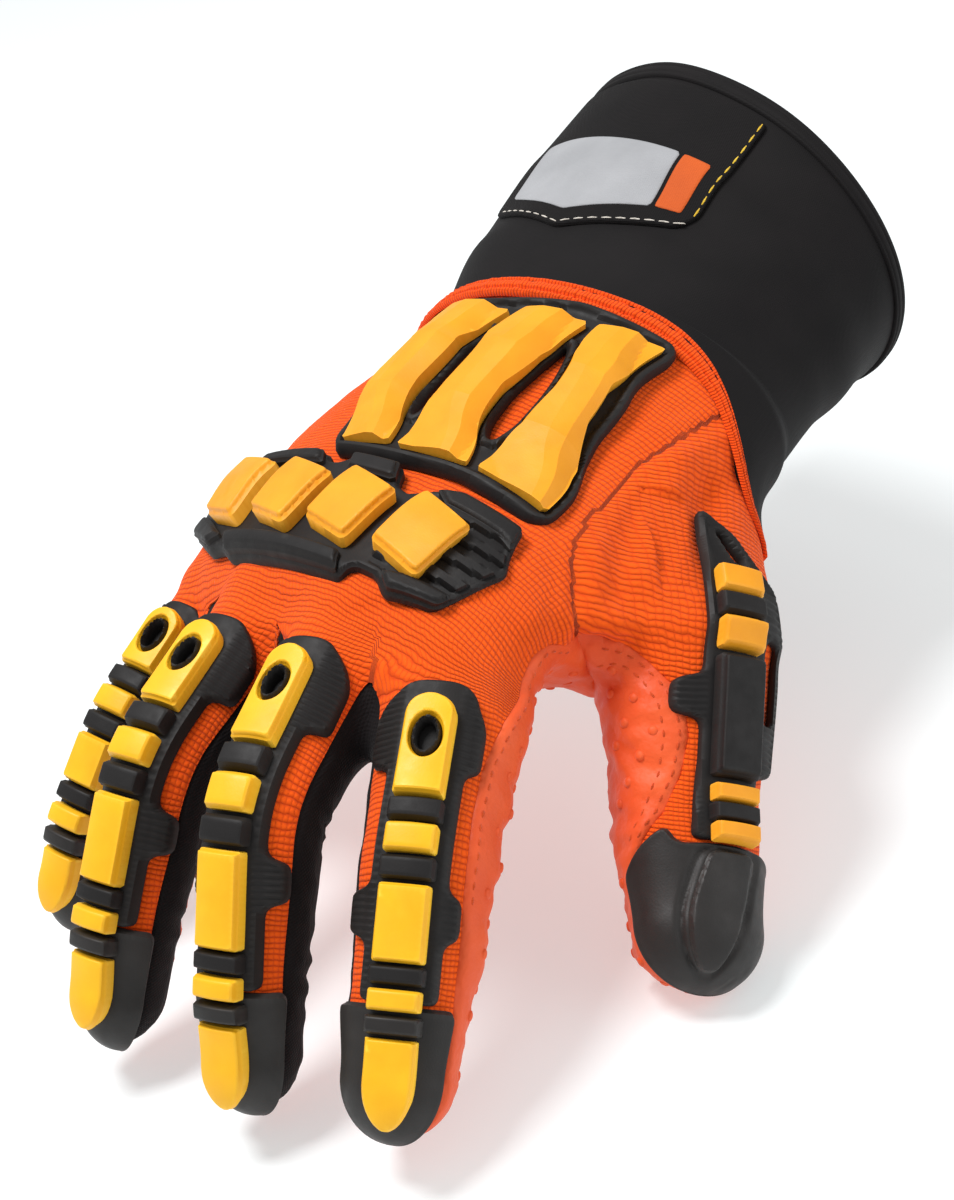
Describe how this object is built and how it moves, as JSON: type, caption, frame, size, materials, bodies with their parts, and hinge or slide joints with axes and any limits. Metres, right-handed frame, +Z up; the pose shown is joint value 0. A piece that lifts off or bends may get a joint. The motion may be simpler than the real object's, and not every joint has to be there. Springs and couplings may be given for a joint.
{
  "type": "impact glove",
  "caption": "Hollow right-hand work glove in worn form: knit back, leather palm, rubber impact guards on back, knuckles and digits, and a flared neoprene gauntlet cuff.",
  "frame": {"origin": "middle of the wrist opening, where the hand goes in through the cuff", "axes": "+Z up with the glove held as worn, fingers along -Y and down, thumb on the +X side, cuff mouth towards +Y"},
  "size_m": [0.1551, 0.2603, 0.1315],
  "materials": {
    "orange_knit": "ribbed stretch knit, matt",
    "orange_leather": "smooth synthetic leather with small raised dots, satin",
    "dark_lining": "near-black stretch fabric, matt",
    "neoprene": "smooth black neoprene, soft sheen",
    "label_ground": "black woven patch, matt",
    "label_grey": "light grey printed field, matt",
    "label_orange": "orange printed strip, matt",
    "black_rubber": "moulded thermoplastic rubber, matt",
    "grey_rubber": "smooth moulded rubber, satin",
    "yellow_rubber": "moulded thermoplastic rubber, satin"
  },
  "bodies": {
    "root": {"palm_panel": "orange_leather", "thumb_leather": "orange_leather", "thumb_panel": "orange_knit", "fourchette_index_middle": "dark_lining", "fourchette_middle_ring": "dark_lining", "fourchette_ring_little": "dark_lining", "index_back": "orange_knit", "middle_back": "orange_knit", "back_panel": "orange_knit", "gauntlet_cuff": "neoprene", "cuff_binding": "neoprene", "wrist_hem": "orange_knit", "cuff_label": "label_ground", "label_panel": "label_grey", "label_strip": "label_orange", "back_guard": "black_rubber", "back_plate_1": "yellow_rubber", "back_plate_2": "yellow_rubber", "back_plate_3": "yellow_rubber", "knuckle_guard": "black_rubber", "knuckle_block_1": "yellow_rubber", "knuckle_block_2": "yellow_rubber", "knuckle_block_3": "yellow_rubber", "knuckle_block_4": "yellow_rubber", "index_guard": "black_rubber", "index_knuckle_pad": "yellow_rubber", "index_middle_band": "yellow_rubber", "index_middle_pad": "yellow_rubber", "index_tip_cap": "grey_rubber", "index_last_band": "yellow_rubber", "index_tip_pad": "yellow_rubber", "middle_guard": "black_rubber", "middle_knuckle_pad": "yellow_rubber", "middle_middle_band": "yellow_rubber", "middle_middle_pad": "yellow_rubber", "middle_tip_cap": "grey_rubber", "middle_last_band": "yellow_rubber", "middle_tip_pad": "yellow_rubber", "ring_guard": "black_rubber", "ring_knuckle_pad": "yellow_rubber", "ring_middle_band": "yellow_rubber", "ring_middle_pad": "yellow_rubber", "ring_tip_cap": "grey_rubber", "ring_last_band": "yellow_rubber", "ring_tip_pad": "yellow_rubber", "little_guard": "black_rubber", "little_knuckle_pad": "yellow_rubber", "little_middle_band": "yellow_rubber", "little_middle_pad": "yellow_rubber", "little_tip_cap": "grey_rubber", "little_last_band": "yellow_rubber", "little_tip_pad": "yellow_rubber", "thumb_guard": "black_rubber", "thumb_band_1": "yellow_rubber", "thumb_band_2": "yellow_rubber", "thumb_band_3": "yellow_rubber", "thumb_band_4": "yellow_rubber", "thumb_tip_cap": "grey_rubber"}
  },
  "joints": []
}
